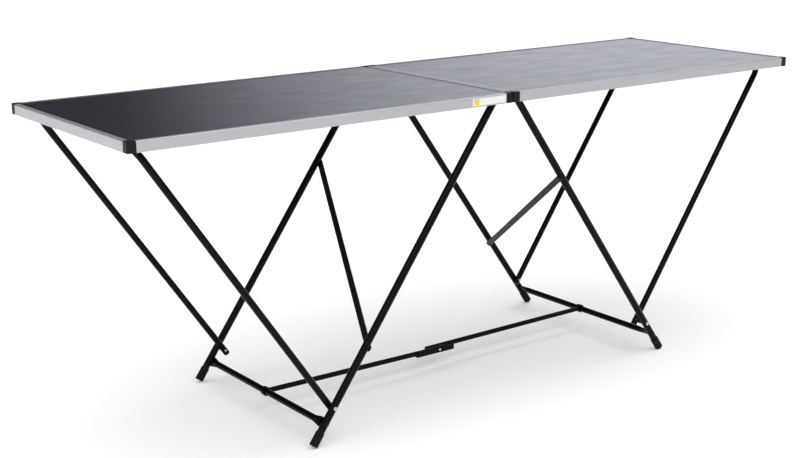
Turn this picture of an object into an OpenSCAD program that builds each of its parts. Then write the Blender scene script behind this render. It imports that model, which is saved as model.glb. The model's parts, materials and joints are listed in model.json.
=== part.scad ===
/* [Table top] */
// Length of the open table
table_l = 2000; // [1600:10:2400]
// Depth of the table
table_w = 600; // [500:10:700]
// Height of the table top above the floor
table_h = 770; // [700:5:850]
// Height of the aluminium rim
rim_h = 24; // [22:1:34]
// Width of the rim's top lip
lip_w = 11.5; // [9:0.5:15]
// Thickness of the board
board_t = 4.5; // [3:0.5:6]
// Length of a corner cap along each edge
cap_l = 20; // [14:1:30]

/* [Trestles] */
// Outer diameter of the main leg tubes
leg_d = 18; // [16:1:22]
// Outer diameter of the bent tube frames
bow_d = 16; // [14:1:18]
// Angle between a main leg and the table top
leg_angle = 54.5; // [50:0.5:60]
// Distance of the main leg pivots from the seam
pivot_x = 32; // [26:1:60]
// Distance of the bow's top bar from the outer end of the table
bow_inset = 30; // [28:1:80]
// Distance of the main legs' centre lines from the table's middle
leg_y = 271; // [255:1:272]
// Distance of the crossbar from the foot end, along the leg
crossbar_up = 58; // [50:1:90]
// Distance of the bow rivet from the foot end, along the leg
rivet_up = 99; // [84:1:130]

/* [Stretcher] */
// Outer diameter of the stretcher tubes
stretcher_d = 13; // [12:1:16]
// Sideways offset of each stretcher half from the table's middle
stretcher_y = 9; // [8:0.5:12]
// Angle by which each stretcher half droops to the knee
stretcher_droop = 0.5; // [0:0.5:3]

/* [Hidden] */
$fn = 48;
half_l = table_l / 2;
half_w = table_w / 2;
rim_z = table_h - rim_h;
rim_t = 1.6;
lip_t = 1.3;
lip_gap = 0.3;
face_step = 0.3;
seam_gap = 0.75;
board_top = table_h - lip_t;
board_z = board_top - board_t;
cap_proud = 0.6;
wall = 1.2;
foot_r = leg_d / 2 + 1.6;
foot_round = 2;
foot_l = 36;
pivot_z = board_z - leg_d / 2 - 1.2;
leg_l = (pivot_z - foot_round - (foot_r - foot_round) * cos(leg_angle)) / sin(leg_angle) + foot_round;
bow_x = -half_l + bow_inset;
bow_z = board_z - bow_d / 2 - 1.2;
rivet_s = leg_l - rivet_up;
crossbar_s = leg_l - crossbar_up;
rivet_x = -pivot_x - rivet_s * cos(leg_angle);
rivet_z = pivot_z - rivet_s * sin(leg_angle);
bow_angle = atan2(bow_z - rivet_z, rivet_x - bow_x);
bow_l = norm([rivet_x - bow_x, bow_z - rivet_z]);
bow_tail = 12;
bow_near_y = leg_y - leg_d / 2 - bow_d / 2 - 0.5;
bow_far_y = bow_near_y - bow_d - 2;
bow_bend = 45;
stud_reach = leg_y - leg_d / 2 - bow_far_y - bow_d / 2 - 0.5;
brace_high_s = 0.29 * leg_l;
brace_low_s = 0.72 * leg_l;
brace_w = 16;
brace_t = 2.5;
pin_gap = 0.05;
bolt_r = 3;
rivet_r = 2.5;
stud_r = 5;
head_r = 4.6;
stud_head = 2;
crossbar_x = -pivot_x - crossbar_s * cos(leg_angle);
crossbar_z = pivot_z - crossbar_s * sin(leg_angle);
crossbar_d = 16;
knee_sheet = 1.6;
stretcher_l = (-crossbar_x) / cos(stretcher_droop);
hinge_r = 3;
hinge_z = rim_z - hinge_r - 0.2;
hinge_w = 60;
hinge_ys = [-190, 0, 190];
clip_ys = [-150, 150];
knee_z = crossbar_z - stretcher_l * sin(stretcher_droop);

aluminium = "silver";
plastic = "#1c1c1e";
steel = "#17171a";
zinc = "#b9bcc0";
laminate = "#8a8c94";

// The second half of the table is the first one turned half round about the vertical axis.
module turned() {
    rotate(180) children();
}

// Frame of a main leg: x runs from the pivot to the foot, z points towards the seam.
module leg_frame() {
    translate([-pivot_x, 0, pivot_z]) rotate([0, 180 - leg_angle, 0]) children();
}

// Frame of a bow: x runs from its top bar down to the rivets.
module bow_frame() {
    translate([bow_x, 0, bow_z]) rotate([0, bow_angle, 0]) children();
}

// Frame of a stretcher half: x runs from the crossbar to the knee.
module stretcher_frame() {
    translate([crossbar_x, -stretcher_y, crossbar_z]) rotate([0, stretcher_droop, 0]) children();
}

// A rod along the y axis from y0 to y1.
module rod_y(r, y0, y1) {
    translate([0, y0, 0]) rotate([-90, 0, 0]) cylinder(r = r, h = y1 - y0);
}

// A rod along the x axis from x0 to x1.
module rod_x(r, x0, x1) {
    translate([x0, 0, 0]) rotate([0, 90, 0]) cylinder(r = r, h = x1 - x0);
}

// Rim section: x runs inwards from the outer face, y runs up from the underside.
module rim_section() {
    round_r = 2.4;
    difference() {
        union() {
            translate([round_r, 0]) square([lip_w - round_r, rim_h]);
            square([lip_w, rim_h - round_r]);
            translate([round_r, rim_h - round_r]) circle(r = round_r);
        }
        translate([rim_t, 1.5]) square([lip_w, rim_h - lip_t - board_t - 1.4 - 1.5]);
        translate([rim_t, rim_h - lip_t - board_t]) square([lip_w, board_t]);
        translate([rim_t + 4.6, -1]) square([lip_w, rim_h - lip_t - board_t + 1]);
    }
}

// A rim of length len along x, its outer face on y = 0 and its inside towards +y.
module rim_x(len) {
    translate([-len / 2, 0, rim_z]) rotate([90, 0, 90]) linear_extrude(len) rim_section();
}

// Board with its edge rebated to pass under the lips; the face stands clear of them.
module board_half() {
    face_in = lip_w + lip_gap;
    len = half_l - seam_gap;
    color(laminate) {
        translate([-half_l + rim_t, -half_w + rim_t, board_z]) {
            cube([len - 2 * rim_t, table_w - 2 * rim_t, board_t]);
        }
        translate([-half_l + face_in, -half_w + face_in, board_z]) {
            cube([len - 2 * face_in, table_w - 2 * face_in, board_t + face_step]);
        }
    }
}

module long_rim() {
    mid = (-half_l - seam_gap) / 2;
    len = half_l - seam_gap - 2 * cap_l;
    color(aluminium) {
        translate([mid, -half_w, 0]) rim_x(len);
    }
}

module end_rim() {
    color(aluminium) {
        translate([-half_l, 0, 0]) rotate(-90) rim_x(table_w - 2 * cap_l);
    }
}

module seam_rim() {
    color(aluminium) {
        translate([-seam_gap, 0, 0]) rotate(90) rim_x(table_w - 2 * cap_l);
    }
}

// One corner cap with its outer corner on the origin and its arms along +x and +y.
module corner_cap(proud) {
    module arms(t) {
        intersection() {
            union() {
                square([cap_l, t]);
                square([t, cap_l]);
            }
            union() {
                translate([5, 0]) square([cap_l, cap_l]);
                translate([0, 5]) square([cap_l, cap_l]);
                translate([5, 5]) circle(r = 5);
            }
        }
    }
    translate([-proud, -proud, rim_z - 0.4]) linear_extrude(rim_h + 0.8) arms(rim_t);
    translate([-proud, -proud, rim_z - 0.4]) linear_extrude(board_z - rim_z) arms(7);
    translate([-proud, -proud, board_top]) linear_extrude(lip_t + 0.4) arms(lip_w);
}

module corner_caps() {
    x_seam = -seam_gap;
    color(plastic) {
        translate([-half_l, -half_w, 0]) corner_cap(cap_proud);
        translate([-half_l, half_w, 0]) mirror([0, 1, 0]) corner_cap(cap_proud);
        translate([x_seam, -half_w, 0]) mirror([1, 0, 0]) corner_cap(0);
        translate([x_seam, half_w, 0]) mirror([1, 0, 0]) mirror([0, 1, 0]) corner_cap(0);
    }
}

// Angle plate that carries a main leg's pivot bolt, outside the leg and under the board.
module pivot_bracket() {
    y_in = -leg_y - leg_d / 2 - 0.6;
    plate_t = 2;
    plate_w = 34;
    flange_w = 9;
    ear_r = 7.4;
    color(zinc) {
        difference() {
            union() {
                translate([-pivot_x - plate_w / 2, y_in - plate_t, pivot_z]) {
                    cube([plate_w, plate_t, board_z - pivot_z]);
                }
                translate([-pivot_x, 0, pivot_z]) rod_y(ear_r, y_in - plate_t, y_in);
                translate([-pivot_x - plate_w / 2, y_in - flange_w, board_z - plate_t]) {
                    cube([plate_w, flange_w, plate_t]);
                }
            }
            translate([-pivot_x, 0, pivot_z]) rod_y(bolt_r + pin_gap, y_in - 10, y_in + 10);
        }
    }
}

// Pivot bolt with a head outside the bracket and a thin nut inside the leg.
module pivot_bolt() {
    y_out = -leg_y - leg_d / 2 - 2.6;
    y_nut = -leg_y + leg_d / 2 + 0.4;
    head_t = 3;
    color(zinc) {
        translate([-pivot_x, 0, pivot_z]) {
            rod_y(bolt_r, y_out - 1, y_nut + 1.6);
            rod_y(5.5, y_out - head_t, y_out);
            rod_y(5, y_nut, y_nut + head_t);
        }
    }
}

// Saddle under the board that the bow's top bar snaps into and turns in.
module bow_clip() {
    clip_w = 26;
    color(plastic) {
        difference() {
            translate([bow_x - 13, -clip_w / 2, bow_z - 4]) cube([26, clip_w, board_z - bow_z + 4]);
            translate([bow_x, 0, bow_z]) rod_y(bow_d / 2 + 0.3, -clip_w, clip_w);
            for (side = [-1, 1]) {
                translate([bow_x + side * 10.6, 0, bow_z - 6]) cylinder(r = 1.5, h = 20);
            }
        }
    }
}

module clip_screws() {
    color(zinc) {
        for (y = clip_ys) {
            for (side = [-1, 1]) {
                translate([bow_x + side * 10.6, y, bow_z - 6]) cylinder(r = 2.6, h = 2);
                translate([bow_x + side * 10.6, y, bow_z - 6]) cylinder(r = 1.4, h = 14);
            }
        }
    }
}

// Main leg tube, bored for its pivot bolt, the bow's stud and the crossbar's rivet.
module leg() {
    color(steel) {
        difference() {
            translate([0, -leg_y, 0]) rod_x(leg_d / 2, -3.5, leg_l - 4);
            translate([0, -leg_y, 0]) rod_x(leg_d / 2 - wall, -5, leg_l);
            rod_y(bolt_r + pin_gap, -leg_y - leg_d, -leg_y + leg_d);
            translate([rivet_s, 0, 0]) rod_y(rivet_r + pin_gap, -leg_y - leg_d, -leg_y + leg_d);
            translate([crossbar_s, 0, 0]) rod_y(rivet_r + pin_gap, -leg_y - leg_d, -leg_y + leg_d);
        }
    }
}

// Plastic foot: a cup over the end of the leg with a rounded bottom edge.
module foot() {
    color(plastic) {
        translate([leg_l, -leg_y, 0]) rotate([0, -90, 0]) rotate_extrude() difference() {
            union() {
                translate([0, foot_round]) square([foot_r, foot_l - foot_round - 1]);
                square([foot_r - foot_round, foot_l]);
                translate([foot_r - foot_round, foot_round]) circle(r = foot_round);
                translate([foot_r - 1, foot_l - 1]) circle(r = 1);
                translate([foot_r - foot_round, foot_l - 2]) square([foot_round - 1, 2]);
            }
            translate([-1, 4]) square([leg_d / 2 + pin_gap + 1, foot_l]);
            translate([-foot_r, -1]) square([foot_r, foot_l + 2]);
        }
    }
}

// Domed plug in the upper end of a leg tube.
module leg_plug(y) {
    plug_end = -3.5;
    translate([0, y, 0]) difference() {
        union() {
            rod_x(leg_d / 2 - wall - 0.02, plug_end, 12);
            intersection() {
                sphere(r = leg_d / 2);
                translate([plug_end - leg_d, -leg_d, -leg_d]) cube([leg_d, 2 * leg_d, 2 * leg_d]);
            }
        }
        rod_y(bolt_r + pin_gap, -leg_d, leg_d);
    }
}

// Crossbar: a round tube whose two ends are pressed flat against the inner sides of the legs.
module crossbar() {
    y_end = leg_y - leg_d / 2;
    flat_l = 42;
    color(steel) {
        translate([crossbar_s, 0, 0]) difference() {
            union() {
                rod_y(crossbar_d / 2, -y_end + flat_l, y_end - flat_l);
                for (side = [-1, 1]) {
                    hull() {
                        translate([0, side * (y_end - flat_l), 0]) rotate([90, 0, 0])
                            cylinder(r = crossbar_d / 2, h = 0.5, center = true, $fn = 32);
                        translate([-11, side * (y_end - 14) - 0.5, -3]) cube([22, 1, 6]);
                    }
                    hull() {
                        translate([-11, side * (y_end - 14) - 0.5, -3]) cube([22, 1, 6]);
                        translate([-11, side * (y_end - 1.6) - 1.5, -7]) cube([22, 3, 14]);
                    }
                }
            }
            rod_y(crossbar_d / 2 - wall, -y_end + flat_l, y_end - flat_l);
            for (side = [-1, 1]) {
                translate([0, side * (y_end - 9), 0]) rotate([90, 0, 0])
                    cylinder(r = rivet_r, h = 20, center = true);
            }
        }
    }
}

// Rivets through a leg and the crossbar's flat ends.
module crossbar_rivets() {
    head_t = 1.6;
    color(zinc) {
        for (side = [-1, 1]) {
            translate([crossbar_s, side * (leg_y + leg_d / 2 + head_t), 0]) rotate([side * 90, 0, 0]) {
                cylinder(r = head_r, h = head_t);
                cylinder(r = rivet_r - pin_gap, h = leg_d + 12);
            }
        }
    }
}

// Flat bar that braces a pair of legs on their seam-facing side.
module brace() {
    run = norm([brace_low_s - brace_high_s, 2 * leg_y]);
    tilt = atan2(-2 * leg_y, brace_low_s - brace_high_s);
    color(steel) {
        translate([brace_high_s, leg_y, leg_d / 2]) rotate(tilt) difference() {
            union() {
                translate([0, -brace_w / 2, 0]) cube([run, brace_w, brace_t]);
                cylinder(r = brace_w / 2, h = brace_t);
                translate([run, 0, 0]) cylinder(r = brace_w / 2, h = brace_t);
            }
            translate([0, 0, -1]) cylinder(r = rivet_r, h = brace_t + 2);
            translate([run, 0, -1]) cylinder(r = rivet_r, h = brace_t + 2);
        }
    }
}

module brace_rivets() {
    color(zinc) {
        for (end = [[brace_high_s, leg_y], [brace_low_s, -leg_y]]) {
            translate([end[0], end[1], leg_d / 2 + brace_t]) cylinder(r1 = head_r, r2 = 3, h = 1.8);
            translate([end[0], end[1], leg_d / 2]) cylinder(r = rivet_r - pin_gap, h = brace_t + 1);
        }
    }
}

// Outer half of the joint between leg and bow: a headed stud through the leg tube.
module leg_studs() {
    color(zinc) {
        for (end = [[-1, 0], [1, stud_reach]]) {
            translate([rivet_s, end[0] * (leg_y + leg_d / 2 + stud_head), 0]) rotate([end[0] * 90, 0, 0]) {
                cylinder(r = stud_r, h = stud_head);
                cylinder(r = rivet_r, h = stud_head + leg_d + end[1]);
            }
        }
    }
}

// Quarter bend of the bow's tube.
module bow_corner(r) {
    rotate_extrude(angle = 90) translate([bow_bend, 0]) circle(r = r);
}

// Bow: one tube bent into a wide U, with its top bar under the outer end of the table.
module bow_path(r, over) {
    y0 = -bow_near_y;
    y1 = bow_far_y;
    rod_y(r, y0 + bow_bend, y1 - bow_bend);
    translate([bow_bend, y0 + bow_bend, 0]) rotate(180) bow_corner(r);
    translate([bow_bend, y1 - bow_bend, 0]) rotate(90) bow_corner(r);
    translate([0, y0, 0]) rod_x(r, bow_bend, bow_l + bow_tail + over);
    translate([0, y1, 0]) rod_x(r, bow_bend, bow_l + bow_tail + over);
}

module bow() {
    color(steel) {
        difference() {
            bow_path(bow_d / 2, 0);
            bow_path(bow_d / 2 - wall, 1);
            for (y = [-bow_near_y, bow_far_y]) {
                translate([bow_l, y, 0]) rod_y(rivet_r + pin_gap, -bow_d, bow_d);
            }
        }
    }
}

module bow_plugs() {
    color(plastic) {
        for (y = [-bow_near_y, bow_far_y]) {
            translate([bow_l + bow_tail, y, 0]) {
                rod_x(bow_d / 2 - wall - 0.02, -4, 0.5);
                rod_x(bow_d / 2 - 0.2, 0, 2);
            }
        }
    }
}

// Inner half of the joint: a headed rivet through each of the bow's ends.
module bow_rivets() {
    color(zinc) {
        for (end = [[-bow_near_y, -1], [bow_far_y, 1]]) {
            translate([bow_l, end[0], 0]) rotate([end[1] * 90, 0, 0]) {
                translate([0, 0, bow_d / 2]) cylinder(r = head_r, h = 1.8);
                translate([0, 0, -bow_d / 2 + 0.05]) cylinder(r = rivet_r, h = bow_d + 1);
            }
        }
    }
}

// Sleeve round the stud that fills the wider gap between one leg and the bow.
module stud_spacer() {
    color(plastic) {
        translate([rivet_s, leg_y - leg_d / 2 - stud_reach, 0]) rotate([-90, 0, 0]) difference() {
            cylinder(r = stud_r + 0.5, h = stud_reach);
            translate([0, 0, -1]) cylinder(r = rivet_r + pin_gap, h = stud_reach + 2);
        }
    }
}

// One half of the folding stretcher.
module stretcher() {
    color(steel) {
        difference() {
            rod_x(stretcher_d / 2, crossbar_d / 2 + 3.2, stretcher_l + 26);
            rod_x(stretcher_d / 2 - wall, crossbar_d / 2 + 20, stretcher_l + 27);
            translate([stretcher_l, 0, 0]) rod_y(rivet_r + pin_gap, -stretcher_d, stretcher_d);
        }
    }
}

// Eye round the crossbar at the stretcher's outer end.
module stretcher_eye() {
    color(steel) {
        difference() {
            rod_y(crossbar_d / 2 + 3.2, -6.5, 6.5);
            rod_y(crossbar_d / 2 + 0.3, -8, 8);
        }
    }
}

// Angle piece under the knee, fixed to the left stretcher half.
module knee_bracket() {
    x0 = -72;
    len = 120;
    y0 = -stretcher_y - stretcher_d / 2 - 0.5 - knee_sheet;
    floor_z = knee_z - stretcher_d / 2 - 1 - knee_sheet;
    color(steel) {
        difference() {
            union() {
                translate([x0, y0, floor_z]) cube([len, -y0 - 1.2, knee_sheet]);
                translate([x0, y0, floor_z]) cube([len, knee_sheet, stretcher_d + 2]);
            }
            translate([0, 0, knee_z]) rod_y(rivet_r + pin_gap, -40, 40);
        }
    }
}

module knee_bolt() {
    y0 = -stretcher_y - stretcher_d / 2 - 0.5 - knee_sheet;
    color(zinc) {
        translate([0, 0, knee_z]) {
            rod_y(rivet_r, y0 - 1, -1.2);
            rod_y(3.6, y0 - 1.4, y0);
        }
    }
}

// Hinge leaves under the seam; each side carries every other knuckle.
module hinge_leaves(turn, knuckles) {
    leaf_t = 1.4;
    leaf_l = 26;
    slack = 0.2;
    part = hinge_w / 5;
    knuckle_l = part - 2 * slack;
    color(zinc) {
        for (y = hinge_ys) {
            translate([0, y, 0]) difference() {
                union() {
                    translate([-leaf_l, -hinge_w / 2, rim_z - leaf_t]) {
                        cube([leaf_l - hinge_r - 0.5, hinge_w, leaf_t]);
                    }
                    for (i = knuckles) {
                        y0 = turn * (-hinge_w / 2 + i * part + slack);
                        translate([0, min(y0, y0 + turn * knuckle_l), 0]) {
                            translate([-hinge_r - 1, 0, rim_z - leaf_t]) {
                                cube([hinge_r + 1, knuckle_l, leaf_t - slack]);
                            }
                            translate([0, 0, hinge_z]) rod_y(hinge_r, 0, knuckle_l);
                        }
                    }
                }
                translate([0, 0, hinge_z]) rod_y(1.5 + pin_gap, -hinge_w, hinge_w);
            }
        }
    }
}

module hinge_pins() {
    color(zinc) {
        for (y = hinge_ys) {
            translate([0, y, hinge_z]) rod_y(1.5, -hinge_w / 2 - 0.5, hinge_w / 2 + 0.5);
        }
    }
}

// Blank label plate on the front rim near the seam.
module rim_label() {
    color("white") {
        translate([-124, -half_w - 0.25, rim_z + 3]) cube([100, 0.25, 17]);
    }
}

module mirrored_pair() {
    children();
    mirror([0, 1, 0]) children();
}

module at_clips() {
    for (y = clip_ys) {
        translate([0, y, 0]) children();
    }
}

module leg_plugs() {
    color(plastic) {
        leg_plug(-leg_y);
        leg_plug(leg_y);
    }
}

board_half();  // left_board
long_rim();  // left_front_rim
mirror([0, 1, 0]) long_rim();  // left_back_rim
end_rim();  // left_end_rim
seam_rim();  // left_seam_rim
corner_caps();  // left_corner_caps
mirrored_pair() pivot_bracket();  // left_pivot_brackets
mirrored_pair() pivot_bolt();  // left_pivot_bolts
at_clips() bow_clip();  // left_bow_clips
clip_screws();  // left_clip_screws
leg_frame() leg();  // left_front_leg
leg_frame() mirror([0, 1, 0]) leg();  // left_back_leg
leg_frame() foot();  // left_front_foot
leg_frame() mirror([0, 1, 0]) foot();  // left_back_foot
leg_frame() leg_plugs();  // left_leg_plugs
leg_frame() crossbar();  // left_crossbar
leg_frame() crossbar_rivets();  // left_crossbar_rivets
leg_frame() brace();  // left_brace
leg_frame() brace_rivets();  // left_brace_rivets
leg_frame() leg_studs();  // left_leg_studs
bow_frame() bow();  // left_bow
bow_frame() bow_plugs();  // left_bow_plugs
bow_frame() bow_rivets();  // left_bow_rivets
leg_frame() stud_spacer();  // left_stud_spacer
stretcher_frame() stretcher();  // left_stretcher
stretcher_frame() stretcher_eye();  // left_stretcher_eye
turned() board_half();  // right_board
turned() mirror([0, 1, 0]) long_rim();  // right_front_rim
turned() long_rim();  // right_back_rim
turned() end_rim();  // right_end_rim
turned() seam_rim();  // right_seam_rim
turned() corner_caps();  // right_corner_caps
turned() mirrored_pair() pivot_bracket();  // right_pivot_brackets
turned() mirrored_pair() pivot_bolt();  // right_pivot_bolts
turned() at_clips() bow_clip();  // right_bow_clips
turned() clip_screws();  // right_clip_screws
turned() leg_frame() mirror([0, 1, 0]) leg();  // right_front_leg
turned() leg_frame() leg();  // right_back_leg
turned() leg_frame() mirror([0, 1, 0]) foot();  // right_front_foot
turned() leg_frame() foot();  // right_back_foot
turned() leg_frame() leg_plugs();  // right_leg_plugs
turned() leg_frame() crossbar();  // right_crossbar
turned() leg_frame() crossbar_rivets();  // right_crossbar_rivets
turned() leg_frame() brace();  // right_brace
turned() leg_frame() brace_rivets();  // right_brace_rivets
turned() leg_frame() leg_studs();  // right_leg_studs
turned() bow_frame() bow();  // right_bow
turned() bow_frame() bow_plugs();  // right_bow_plugs
turned() bow_frame() bow_rivets();  // right_bow_rivets
turned() leg_frame() stud_spacer();  // right_stud_spacer
turned() stretcher_frame() stretcher();  // right_stretcher
turned() stretcher_frame() stretcher_eye();  // right_stretcher_eye
hinge_leaves(1, [0, 2, 4]);  // left_hinge_leaves
turned() hinge_leaves(-1, [1, 3]);  // right_hinge_leaves
hinge_pins();
knee_bracket();
knee_bolt();
rim_label();
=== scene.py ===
import json
import math
import bpy
import numpy as np
from mathutils import Matrix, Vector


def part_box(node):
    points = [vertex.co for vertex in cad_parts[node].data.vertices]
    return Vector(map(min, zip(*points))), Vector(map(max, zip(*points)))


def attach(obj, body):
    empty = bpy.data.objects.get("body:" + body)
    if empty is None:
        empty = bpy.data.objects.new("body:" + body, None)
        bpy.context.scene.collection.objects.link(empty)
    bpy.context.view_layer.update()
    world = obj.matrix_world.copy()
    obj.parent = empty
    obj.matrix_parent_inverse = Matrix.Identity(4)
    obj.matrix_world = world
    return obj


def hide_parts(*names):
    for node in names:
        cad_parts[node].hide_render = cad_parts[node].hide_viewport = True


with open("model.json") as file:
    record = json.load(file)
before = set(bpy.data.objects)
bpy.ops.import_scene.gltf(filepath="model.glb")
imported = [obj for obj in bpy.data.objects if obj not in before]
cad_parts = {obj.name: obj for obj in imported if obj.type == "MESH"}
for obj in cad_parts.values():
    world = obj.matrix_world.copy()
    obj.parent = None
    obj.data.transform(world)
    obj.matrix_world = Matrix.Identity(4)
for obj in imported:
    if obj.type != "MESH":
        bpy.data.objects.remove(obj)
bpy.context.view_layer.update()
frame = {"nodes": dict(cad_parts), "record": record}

print("frame loaded:", len(frame["nodes"]), "nodes")


# A principled material; returns the material and its shader.
def newMaterial(name, base, roughness, metallic=0.0, specular=0.5, coat=0.0, coatRoughness=0.1):
    mat = bpy.data.materials.new(name)
    mat.use_nodes = True
    shader = mat.node_tree.nodes["Principled BSDF"]
    shader.inputs["Base Color"].default_value = (*base, 1)
    shader.inputs["Roughness"].default_value = roughness
    shader.inputs["Metallic"].default_value = metallic
    shader.inputs["Specular IOR Level"].default_value = specular
    shader.inputs["Coat Weight"].default_value = coat
    shader.inputs["Coat Roughness"].default_value = coatRoughness
    return mat, shader


def addNode(mat, kind, **values):
    node = mat.node_tree.nodes.new(kind)
    for key, value in values.items():
        setattr(node, key, value)
    return node


# Noise on object coordinates, squeezed along each axis by stretch.
def stretchedNoise(mat, scale, stretch=(1, 1, 1), detail=2.0, rough=0.5):
    coord = addNode(mat, "ShaderNodeTexCoord")
    mapping = addNode(mat, "ShaderNodeMapping")
    mapping.inputs["Scale"].default_value = stretch
    noise = addNode(mat, "ShaderNodeTexNoise")
    noise.inputs["Scale"].default_value = scale
    noise.inputs["Detail"].default_value = detail
    noise.inputs["Roughness"].default_value = rough
    links = mat.node_tree.links
    links.new(coord.outputs["Object"], mapping.inputs["Vector"])
    links.new(mapping.outputs["Vector"], noise.inputs["Vector"])
    return noise.outputs["Fac"]


# A colour ramp from low to high between start and end.
def ramp(mat, source, low, high, start=0.3, end=0.7):
    node = addNode(mat, "ShaderNodeValToRGB")
    node.color_ramp.elements[0].position = start
    node.color_ramp.elements[0].color = (*low, 1)
    node.color_ramp.elements[1].position = end
    node.color_ramp.elements[1].color = (*high, 1)
    mat.node_tree.links.new(source, node.inputs["Fac"])
    return node.outputs["Color"]


# A number that goes from low to high as source goes from start to end.
def remap(mat, source, low, high, start=0.3, end=0.7):
    node = addNode(mat, "ShaderNodeMapRange")
    node.inputs["From Min"].default_value = start
    node.inputs["From Max"].default_value = end
    node.inputs["To Min"].default_value = low
    node.inputs["To Max"].default_value = high
    mat.node_tree.links.new(source, node.inputs["Value"])
    return node.outputs["Result"]


# Blends two colours by a factor; second may be a plain colour.
def mixColour(mat, factor, first, second):
    node = addNode(mat, "ShaderNodeMix", data_type="RGBA")
    links = mat.node_tree.links
    links.new(factor, node.inputs[0])
    links.new(first, node.inputs[6])
    if isinstance(second, tuple):
        node.inputs[7].default_value = (*second, 1)
    else:
        links.new(second, node.inputs[7])
    return node.outputs[2]


def addBump(mat, shader, source, strength, distance):
    node = addNode(mat, "ShaderNodeBump")
    node.inputs["Strength"].default_value = strength
    node.inputs["Distance"].default_value = distance
    mat.node_tree.links.new(source, node.inputs["Height"])
    mat.node_tree.links.new(node.outputs["Normal"], shader.inputs["Normal"])


# The height of a point over the floor in metres, from object coordinates.
def heightAboveFloor(mat):
    coord = addNode(mat, "ShaderNodeTexCoord")
    split = addNode(mat, "ShaderNodeSeparateXYZ")
    mat.node_tree.links.new(coord.outputs["Object"], split.inputs["Vector"])
    return split.outputs["Z"]


laminateFinish = {
    "dark": (0.024, 0.027, 0.034), "light": (0.032, 0.035, 0.044), "grain": 1400.0, "roughness": 0.24,
}


# Charcoal worktop laminate: fine mottled print, pearled surface, faint wiping marks.
def makeLaminate():
    mat, shader = newMaterial("charcoalLaminate", laminateFinish["dark"], laminateFinish["roughness"])
    fine = stretchedNoise(mat, laminateFinish["grain"], detail=3)
    wiped = stretchedNoise(mat, 9.0, (1, 2.2, 1), detail=5, rough=0.6)
    colour = ramp(mat, fine, laminateFinish["dark"], laminateFinish["light"], 0.35, 0.65)
    links = mat.node_tree.links
    links.new(colour, shader.inputs["Base Color"])
    links.new(remap(mat, wiped, laminateFinish["roughness"] - 0.02, laminateFinish["roughness"] + 0.03),
              shader.inputs["Roughness"])
    addBump(mat, shader, stretchedNoise(mat, 900.0, detail=2), 0.10, 0.0002)
    return mat


aluminiumFinish = {
    "dark": (0.47, 0.48, 0.50), "light": (0.57, 0.58, 0.61), "roughness": 0.40, "metallic": 0.8,
}


# Satin aluminium extrusion: hair-fine draw lines along its length, a few cloudy patches.
def makeAluminium(name, along):
    stretch = {"x": (1.5, 700, 700), "y": (700, 1.5, 700)}[along]
    mat, shader = newMaterial(name, aluminiumFinish["dark"], aluminiumFinish["roughness"],
                              metallic=aluminiumFinish["metallic"])
    lines = stretchedNoise(mat, 1.0, stretch, detail=4, rough=0.65)
    cloud = stretchedNoise(mat, 14.0, detail=3)
    links = mat.node_tree.links
    base = ramp(mat, lines, aluminiumFinish["dark"], aluminiumFinish["light"], 0.3, 0.7)
    worn = mixColour(mat, remap(mat, cloud, 0.0, 0.25, 0.45, 0.75), base, (0.44, 0.45, 0.47))
    links.new(worn, shader.inputs["Base Color"])
    links.new(remap(mat, lines, 0.36, 0.48), shader.inputs["Roughness"])
    addBump(mat, shader, lines, 0.12, 0.0001)
    return mat


powderFinish = {"base": (0.0022, 0.0022, 0.0026), "roughness": 0.25, "specular": 0.10}


# Gloss powder coat: orange-peel ripple, tiny specks, floor dust low down.
def makePowderCoat(name, base, roughness, specular=0.5):
    mat, shader = newMaterial(name, base, roughness, specular=specular)
    peel = stretchedNoise(mat, 420.0, detail=1)
    speck = stretchedNoise(mat, 1800.0, detail=2)
    links = mat.node_tree.links
    lighter = tuple(c * 1.9 + 0.002 for c in base)
    colour = ramp(mat, speck, base, lighter, 0.55, 0.8)
    dust = remap(mat, heightAboveFloor(mat), 0.22, 0.0, 0.0, 0.05)
    links.new(mixColour(mat, dust, colour, (0.05, 0.048, 0.045)), shader.inputs["Base Color"])
    links.new(remap(mat, peel, roughness - 0.05, roughness + 0.07), shader.inputs["Roughness"])
    addBump(mat, shader, peel, 0.10, 0.0003)
    return mat


plasticFinish = {"base": (0.004, 0.004, 0.0045), "roughness": 0.42, "specular": 0.2}


# Moulded plastic with a fine eroded texture.
def makePlastic(name, base, roughness, grain, specular=0.4):
    mat, shader = newMaterial(name, base, roughness, specular=specular)
    fine = stretchedNoise(mat, grain, detail=3)
    links = mat.node_tree.links
    scuffed = tuple(c * 1.7 + 0.002 for c in base)
    links.new(ramp(mat, fine, base, scuffed, 0.4, 0.85), shader.inputs["Base Color"])
    links.new(remap(mat, fine, roughness - 0.06, roughness + 0.10), shader.inputs["Roughness"])
    addBump(mat, shader, fine, 0.18, 0.0002)
    return mat


# Bright zinc plating with cloudy crystals.
def makeZinc():
    mat, shader = newMaterial("brightZinc", (0.62, 0.63, 0.64), 0.30, metallic=1.0)
    cloud = stretchedNoise(mat, 320.0, detail=4)
    links = mat.node_tree.links
    links.new(ramp(mat, cloud, (0.48, 0.49, 0.50), (0.72, 0.73, 0.74), 0.3, 0.7), shader.inputs["Base Color"])
    links.new(remap(mat, cloud, 0.22, 0.40), shader.inputs["Roughness"])
    addBump(mat, shader, cloud, 0.15, 0.0002)
    return mat


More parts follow.
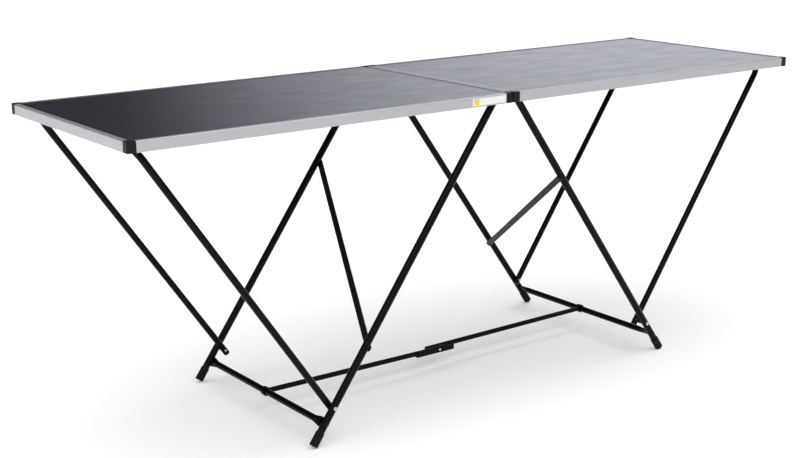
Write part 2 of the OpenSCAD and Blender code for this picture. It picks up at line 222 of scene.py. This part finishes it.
laminate = makeLaminate()
rimAlong = makeAluminium("rimDrawnAlongX", "x")
rimAcross = makeAluminium("rimDrawnAlongY", "y")
powderCoat = makePowderCoat("blackPowderCoat", **powderFinish)
barCoat = makePowderCoat("darkBarCoat", (0.007, 0.007, 0.0078), 0.40, 0.16)
capPlastic = makePlastic("capPlastic", grain=1500.0, **plasticFinish)
footPlastic = makePlastic("footPlastic", (0.004, 0.004, 0.004), 0.50, 1100.0, 0.12)
zinc = makeZinc()
labelVinyl = makePlastic("labelVinyl", (0.70, 0.70, 0.67), 0.38, 700.0)
labelPatch = makePlastic("labelPatch", (0.72, 0.50, 0.03), 0.38, 700.0)
print("finishes made")

finishOf = {
    "board": laminate,
    "front_rim": rimAlong, "back_rim": rimAlong, "end_rim": rimAcross, "seam_rim": rimAcross,
    "corner_caps": capPlastic, "pivot_brackets": zinc, "pivot_bolts": zinc, "bow_clips": capPlastic,
    "clip_screws": zinc, "hinge_leaves": zinc, "hinge_pins": zinc,
    "front_leg": powderCoat, "back_leg": powderCoat,
    "front_foot": footPlastic, "back_foot": footPlastic, "leg_plugs": capPlastic, "crossbar": powderCoat,
    "crossbar_rivets": barCoat, "brace": barCoat, "brace_rivets": barCoat, "leg_studs": zinc,
    "bow": powderCoat,
    "bow_plugs": capPlastic, "bow_rivets": zinc, "stud_spacer": capPlastic, "stretcher": powderCoat,
    "stretcher_eye": powderCoat, "knee_bracket": powderCoat, "knee_bolt": zinc, "rim_label": labelVinyl,
}

for nodeName, node in frame["nodes"].items():
    kind = nodeName.replace("left_", "").replace("right_", "")
    for slotIndex in range(len(node.material_slots)):
        node.material_slots[slotIndex].material = finishOf[kind]


# Mesh object at the origin from an array of points and an array of quads.
def meshPiece(name, points, faces, finish):
    mesh = bpy.data.meshes.new(name)
    mesh.from_pydata(np.asarray(points, float).reshape(-1, 3), [], np.asarray(faces).tolist())
    mesh.polygons.foreach_set("use_smooth", np.full(len(mesh.polygons), True))
    mesh.materials.append(finish)
    mesh.update()
    piece = bpy.data.objects.new(name, mesh)
    bpy.context.scene.collection.objects.link(piece)
    return piece


# Quads of a grid whose columns close on themselves.
def gridFaces(rows, cols):
    i, j = np.meshgrid(np.arange(rows - 1), np.arange(cols), indexing="ij")
    nextJ = (j + 1) % cols
    here, below = i * cols, (i + 1) * cols
    return np.stack([here + j, here + nextJ, below + nextJ, below + j], axis=-1).reshape(-1, 4)


# Points given along three axes, carried to a centre.
def placed(flat, centre, axes):
    return np.asarray(centre) + flat @ np.asarray(axes)


# Three unit axes, the last along direction.
def axesAbout(direction):
    w = np.asarray(direction, float) / np.linalg.norm(direction)
    u = np.cross([0.0, 1.0, 0.0] if abs(w[1]) < 0.9 else [1.0, 0.0, 0.0], w)
    u = u / np.linalg.norm(u)
    return np.array([u, np.cross(w, u), w])


# A profile of (radius, height) turned about the height axis: (r cos t, r sin t, h).
def turnedSurface(profile, around):
    profile = np.asarray(profile, float)
    t = np.linspace(0, 2 * np.pi, around, endpoint=False)
    r, h = profile[:, :1], profile[:, 1:]
    points = np.stack([r * np.cos(t), r * np.sin(t), h + 0 * t], axis=-1)
    return points.reshape(-1, 3), gridFaces(len(profile), around)


# One mesh that repeats a turned profile at each (centre, direction).
def turnedPieces(name, profile, places, finish, around):
    points, faces = turnedSurface(profile, around)
    everyPoint = np.concatenate([placed(points, centre, axesAbout(way)) for centre, way in places])
    everyFace = np.concatenate([faces + i * len(points) for i in range(len(places))])
    return meshPiece(name, everyPoint, everyFace, finish)


# Points on an arc, angles in degrees.
def arc(cx, cy, radius, start, end, steps):
    t = np.radians(np.linspace(start, end, steps))
    return np.stack([cx + radius * np.cos(t), cy + radius * np.sin(t)], axis=-1)


def bevelled(piece, width, segments=3):
    modifier = piece.modifiers.new("edges", "BEVEL")
    modifier.width = width
    modifier.segments = segments
    modifier.limit_method = "ANGLE"
    modifier.angle_limit = math.radians(35)


# Side quads and two end caps of a prism with count edges.
def prismFaces(count):
    i = np.arange(count)
    sides = np.stack([i, (i + 1) % count, (i + 1) % count + count, i + count], axis=-1).tolist()
    return [list(range(count))[::-1]] + sides + [list(range(count, 2 * count))]


# An outline in the first two axes, carried from low to high along the third.
def prismPiece(name, outline, low, high, axes, finish):
    outline = np.asarray(outline, float)
    flat = np.concatenate([np.c_[outline, np.full(len(outline), level)] for level in (low, high)])
    mesh = bpy.data.meshes.new(name)
    mesh.from_pydata((flat @ np.asarray(axes)).tolist(), [], prismFaces(len(outline)))
    mesh.materials.append(finish)
    mesh.update()
    piece = bpy.data.objects.new(name, mesh)
    bpy.context.scene.collection.objects.link(piece)
    return piece


joints = frame["record"]["behaviour"]["joints"]
jointPlace = {joint["name"]: np.array(joint["pos_m"], float) for joint in joints}
legLow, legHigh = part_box("left_front_leg")
legSet = {"tubeRadius": (legHigh[1] - legLow[1]) / 2, "halfSpread": -(legHigh[1] + legLow[1]) / 2}
halfTurn = np.diag([-1.0, -1.0, 1.0])


# Left main leg: start, unit direction to the foot, y, and unit normal towards the seam.
def legAxes():
    start = jointPlace["left_leg_fold"]
    along = jointPlace["left_knee_fold"] - start
    along = along / np.linalg.norm(along)
    across = np.array([0.0, 1.0, 0.0])
    return start, along, across, np.cross(along, across)


# Left-hand points, or the same turned half round for the right-hand side.
def forSide(side, points):
    return points if side == "left" else points @ halfTurn


crossbarSet = {
    "radius": 0.008, "wide": 0.0125, "thin": 0.0030, "flatLength": 0.040, "overlap": 0.0015,
    "rings": 90, "around": 40,
}


# Tube along y whose section is an ellipse: round in the middle, wide and thin at both pressed ends.
# Half-width = r + (wide - r) s and half-height = r + (thin - r) s, with s easing from 0 to 1 near an end.
def makeCrossbar(side):
    along, across, normal = legAxes()[1:]
    centre = jointPlace["left_knee_fold"] * [1, 0, 1]
    reach = legSet["halfSpread"] - legSet["tubeRadius"] + crossbarSet["overlap"]
    v = np.linspace(-1, 1, crossbarSet["rings"])
    y = np.sin(v * np.pi / 2) * reach
    flatLength = crossbarSet["flatLength"]
    ease = np.clip((np.abs(y) - (reach - flatLength)) / (flatLength * 0.8), 0, 1)
    ease = ease * ease * (3 - 2 * ease)
    t = np.linspace(0, 2 * np.pi, crossbarSet["around"], endpoint=False)
    wide = crossbarSet["radius"] + (crossbarSet["wide"] - crossbarSet["radius"]) * ease
    thin = crossbarSet["radius"] + (crossbarSet["thin"] - crossbarSet["radius"]) * ease
    # A ring of no size at each end closes the tube.
    wide, thin, y = np.pad(wide, 1), np.pad(thin, 1), np.pad(y, 1, mode="edge")
    level = np.outer(y, np.ones_like(t))
    flat = np.stack([np.outer(wide, np.cos(t)), level, np.outer(thin, np.sin(t))], axis=-1)
    points = forSide(side, placed(flat.reshape(-1, 3), centre, [along, across, normal]))
    faces = gridFaces(len(y), crossbarSet["around"])[:, ::-1]
    piece = meshPiece(side + "_crossbar_tube", points, faces, powderCoat)
    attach(piece, side + "_legs")
    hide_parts(side + "_crossbar")


footSet = {
    "radius": 0.0106, "round": 0.002, "length": 0.036, "lip": 0.001, "groove": 0.0003,
    "gap": 0.0001, "stopDepth": 0.004, "around": 48,
}


# Turned cup: flat end, rounded edge, straight wall with a shallow ring, rounded rim over the tube.
def makeFoot(side, node, y):
    start, along, across = legAxes()[:3]
    radius, edge = footSet["radius"], footSet["round"]
    lean = math.asin(-along[2])
    reach = (start[2] - edge - (radius - edge) * math.cos(lean)) / math.sin(lean) + edge
    top = footSet["length"]
    inside, lip = legSet["tubeRadius"] + footSet["gap"], footSet["lip"]
    profile = [(0.0, 0.0), (radius - edge - lip, 0.0)]
    profile += arc(radius - edge, edge, edge, -90, 0, 8).tolist()
    groove = radius - footSet["groove"]
    profile += [(radius, top * 0.62), (groove, top * 0.64), (groove, top * 0.68), (radius, top * 0.70)]
    profile += arc(radius - lip, top - lip, lip, 0, 90, 5).tolist()
    stop = top - footSet["stopDepth"]
    profile += [(inside, top), (inside, stop), (0.0, stop)]
    points, faces = turnedSurface(profile, footSet["around"])
    centre = start + along * reach + across * y
    points = placed(points, centre, axesAbout(-along))
    piece = meshPiece(node + "_cup", forSide(side, points), faces, footPlastic)
    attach(piece, side + "_legs")
    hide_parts(node)


capSet = {"arm": 0.020, "lip": 0.0115, "corner": 0.005, "bevel": 0.0011}


# Four L-shaped blocks with one rounded outer corner each, their edges bevelled.
def makeCornerCaps(side):
    low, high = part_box(side + "_corner_caps")
    arm, lip, corner = capSet["arm"], capSet["lip"], capSet["corner"]
    outline = np.array(arc(corner, corner, corner, 180, 270, 9).tolist()
                       + [(arm, 0), (arm, lip), (lip, lip), (lip, arm), (0, arm)])
    for i, x in enumerate((low[0], high[0])):
        for j, y in enumerate((low[1], high[1])):
            flip = np.array([1 if i == 0 else -1, 1 if j == 0 else -1])
            ring = outline * flip + [x, y]
            if flip[0] * flip[1] < 0:
                ring = ring[::-1]
            piece = prismPiece("%s_cap_%d%d" % (side, i, j), ring, low[2], high[2], np.eye(3), capPlastic)
            bevelled(piece, capSet["bevel"])
            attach(piece, side + "_top")
            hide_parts(side + "_corner_caps")


rivetSet = {
    "around": 32, "dome": 9, "shank": 0.0024, "depth": 0.017,
    "stud": (0.005, 0.0026), "rivet": (0.0046, 0.0022), "bowHead": 0.0018,
}


# Mushroom head: quarter ellipse above a flat underside, then a short shank.
def domeProfile(radius, height, shank, depth):
    t = np.radians(np.linspace(90, 0, rivetSet["dome"]))
    dome = np.stack([radius * np.cos(t), height * np.sin(t)], axis=-1)[::-1]
    return np.array([(0.0, -depth), (shank, -depth), (shank, 0.0), (radius * 0.96, 0.0)] + dome.tolist())


def makeHeads(name, body, finish, node, places, radius, height):
    profile = domeProfile(radius, height, rivetSet["shank"], rivetSet["depth"])
    piece = turnedPieces(name, profile, places, finish, rivetSet["around"])
    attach(piece, body)
    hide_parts(node)


# Domed heads on the rivets of a trestle, at the ends of the frame's own rivets.
def makeFasteners(side):
    along, across = legAxes()[1:3]
    outside = legSet["halfSpread"] + legSet["tubeRadius"]

    def bothEnds(centre, low, high):
        ends = [(centre * [1, 0, 1] + across * y, across * np.sign(y)) for y in (low, high)]
        return [(forSide(side, c), forSide(side, d)) for c, d in ends]

    studs = np.mean(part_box("left_leg_studs"), axis=0)
    bar = jointPlace["left_knee_fold"]
    rivetLow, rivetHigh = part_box("left_bow_rivets")
    rivets = (np.array(rivetLow) + np.array(rivetHigh)) / 2
    makeHeads(side + "_stud_heads", side + "_legs", zinc, side + "_leg_studs",
              bothEnds(studs, -outside, outside), *rivetSet["stud"])
    makeHeads(side + "_crossbar_rivet_heads", side + "_legs", barCoat, side + "_crossbar_rivets",
              bothEnds(bar, -outside, outside), *rivetSet["rivet"])
    under = rivetSet["bowHead"]
    makeHeads(side + "_bow_rivet_heads", side + "_bow", zinc, side + "_bow_rivets",
              bothEnds(rivets, rivetLow[1] + under, rivetHigh[1] - under), *rivetSet["rivet"])


bracketSet = {"sheet": 0.0016, "bend": 0.0032, "bevel": 0.0004}


# Bent sheet: a floor and a wall joined by a round bend, run along x.
def makeKneeBracket():
    low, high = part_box("knee_bracket")
    sheet, bend = bracketSet["sheet"], bracketSet["bend"]
    outside = arc(low[1] + bend, low[2] + bend, bend, 270, 180, 9)
    inside = arc(low[1] + bend, low[2] + bend, bend - sheet, 180, 270, 9)
    outline = np.concatenate([[(high[1], low[2] + sheet), (high[1], low[2])], outside,
                              [(low[1], high[2]), (low[1] + sheet, high[2])], inside])
    axes = [[0, 1, 0], [0, 0, 1], [1, 0, 0]]
    piece = prismPiece("knee_channel", outline[::-1], low[0], high[0], axes, powderCoat)
    bevelled(piece, bracketSet["bevel"], 2)
    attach(piece, "left_stretcher")
    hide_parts("knee_bracket")


labelSet = {"corner": 0.0015, "patchWide": 0.016, "patchTall": 0.0135, "patchInset": 0.004,
            "patchUp": 0.0022, "patchCorner": 0.002, "plate": 0.0002, "ink": 0.00005}


def roundedOutline(x0, y0, x1, y1, radius):
    left, right, bottom, top = x0 + radius, x1 - radius, y0 + radius, y1 - radius
    corners = [(left, bottom, 180), (right, bottom, 270), (right, top, 0), (left, top, 90)]
    return np.concatenate([arc(cx, cy, radius, a, a + 90, 6) for cx, cy, a in corners])


# Thin blank label with one plain yellow patch; both lie on the rim's outer face.
def makeLabel():
    low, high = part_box("rim_label")
    axes = [[1, 0, 0], [0, 0, 1], [0, -1, 0]]
    rim = -high[1]
    outline = roundedOutline(low[0], low[2], high[0], high[2], labelSet["corner"])
    face = rim + labelSet["plate"]
    plate = prismPiece("blank_label", outline, rim, face, axes, labelVinyl)
    x0, z0 = low[0] + labelSet["patchInset"], low[2] + labelSet["patchUp"]
    outline = roundedOutline(x0, z0, x0 + labelSet["patchWide"], z0 + labelSet["patchTall"],
                             labelSet["patchCorner"])
    patch = prismPiece("label_patch", outline, face, face + labelSet["ink"], axes, labelPatch)
    for piece in (plate, patch):
        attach(piece, "left_top")
        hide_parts("rim_label")


for sideName in ("left", "right"):
    makeCrossbar(sideName)
    near, far = ("front", "back") if sideName == "left" else ("back", "front")
    makeFoot(sideName, sideName + "_" + near + "_foot", -legSet["halfSpread"])
    makeFoot(sideName, sideName + "_" + far + "_foot", legSet["halfSpread"])
    makeCornerCaps(sideName)
    makeFasteners(sideName)
makeKneeBracket()
makeLabel()
print("detail pieces made")


# Object matrix from three unit axes and a place.
def aim(right, up, back, place):
    rows = [[right[i], up[i], back[i], place[i]] for i in range(3)]
    return Matrix(rows + [[0, 0, 0, 1]])


cameraSet = {
    "place": (-2.1785, -2.8028, 1.2915), "yaw": 0.6345, "pitch": 0.2527, "roll": -0.0067, "lens": 63.31,
}


# Camera looking along yaw and pitch, with a slight roll about its axis.
def makeCamera():
    yaw, pitch, roll = cameraSet["yaw"], cameraSet["pitch"], cameraSet["roll"]
    ahead = np.array([math.sin(yaw) * math.cos(pitch), math.cos(yaw) * math.cos(pitch), -math.sin(pitch)])
    level = np.array([math.cos(yaw), -math.sin(yaw), 0.0])
    above = np.cross(level, ahead)
    right = level * math.cos(roll) + above * math.sin(roll)
    up = above * math.cos(roll) - level * math.sin(roll)
    data = bpy.data.cameras.new("studioCamera")
    data.sensor_width = 36.0
    data.lens = cameraSet["lens"]
    data.clip_end = 200.0
    camera = bpy.data.objects.new("studioCamera", data)
    camera.matrix_world = aim(right, up, -ahead, cameraSet["place"])
    bpy.context.scene.collection.objects.link(camera)
    bpy.context.scene.camera = camera


floorSet = {"size": 60.0, "colour": (0.78, 0.78, 0.78), "glow": 0.26}


# One large pale floor at the height of the feet.
def makeFloor():
    half = floorSet["size"] / 2
    corners = [(-half, -half, 0), (half, -half, 0), (half, half, 0), (-half, half, 0)]
    mesh = bpy.data.meshes.new("floor")
    mesh.from_pydata(corners, [], [(0, 1, 2, 3)])
    floor = bpy.data.objects.new("floor", mesh)
    bpy.context.scene.collection.objects.link(floor)
    mat, shader = newMaterial("paleFloor", floorSet["colour"], 0.9, specular=0.1)
    shader.inputs["Emission Color"].default_value = (1, 1, 1, 1)
    shader.inputs["Emission Strength"].default_value = floorSet["glow"]
    mesh.materials.append(mat)


lightSet = {
    "front": {"place": (-3.5, -5.0, 2.6), "size": (4.0, 2.5), "power": 60.0},
    "left": {"place": (-5.5, 1.5, 2.2), "size": (3.0, 3.0), "power": 40.0},
}
skySet = {"strength": 3.7, "spread": 100.0, "tilt": 12.0}


# A soft rectangular light that faces the middle of the table.
def makeLight(name, place, size, power):
    data = bpy.data.lights.new(name, "AREA")
    data.shape = "RECTANGLE"
    data.size, data.size_y = size
    data.energy = power
    light = bpy.data.objects.new(name, data)
    back = np.array(place) - np.array([0.0, 0.0, 0.4])
    back = back / np.linalg.norm(back)
    side = np.cross([0.0, 1.0, 0.0] if abs(back[2]) > 0.95 else [0.0, 0.0, 1.0], back)
    side = side / np.linalg.norm(side)
    light.matrix_world = aim(side, np.cross(back, side), back, place)
    bpy.context.scene.collection.objects.link(light)


# A very broad overhead light that falls evenly on the whole floor.
def makeSky():
    data = bpy.data.lights.new("overhead", "SUN")
    data.energy = skySet["strength"]
    data.angle = math.radians(skySet["spread"])
    light = bpy.data.objects.new("overhead", data)
    light.matrix_world = Matrix.Rotation(math.radians(skySet["tilt"]), 4, "X")
    bpy.context.scene.collection.objects.link(light)


worldSet = {
    "dim": (0.012, 0.012, 0.013), "bright": (1.3, 1.32, 1.46), "towards": (0.77, 0.64, 0.0),
    "start": 0.90, "end": 0.985,
}


# Studio surround: dim at the left, rising to a bright wall at the right and back.
def makeWorld():
    world = bpy.data.worlds.new("studio")
    bpy.context.scene.world = world
    world.use_nodes = True
    nodes, links = world.node_tree.nodes, world.node_tree.links
    coord = nodes.new("ShaderNodeTexCoord")
    dot = nodes.new("ShaderNodeVectorMath")
    dot.operation = "DOT_PRODUCT"
    dot.inputs[1].default_value = worldSet["towards"]
    shade = nodes.new("ShaderNodeValToRGB")
    shade.color_ramp.elements[0].position = worldSet["start"]
    shade.color_ramp.elements[0].color = (*worldSet["dim"], 1)
    shade.color_ramp.elements[1].position = worldSet["end"]
    shade.color_ramp.elements[1].color = (*worldSet["bright"], 1)
    links.new(coord.outputs["Generated"], dot.inputs[0])
    links.new(dot.outputs["Value"], shade.inputs["Fac"])
    links.new(shade.outputs["Color"], nodes["Background"].inputs["Color"])


makeCamera()
makeFloor()
for lightName, values in lightSet.items():
    makeLight(lightName, **values)
makeSky()
makeWorld()
bpy.context.scene.view_settings.view_transform = "Standard"
print("stage, lights and camera set")
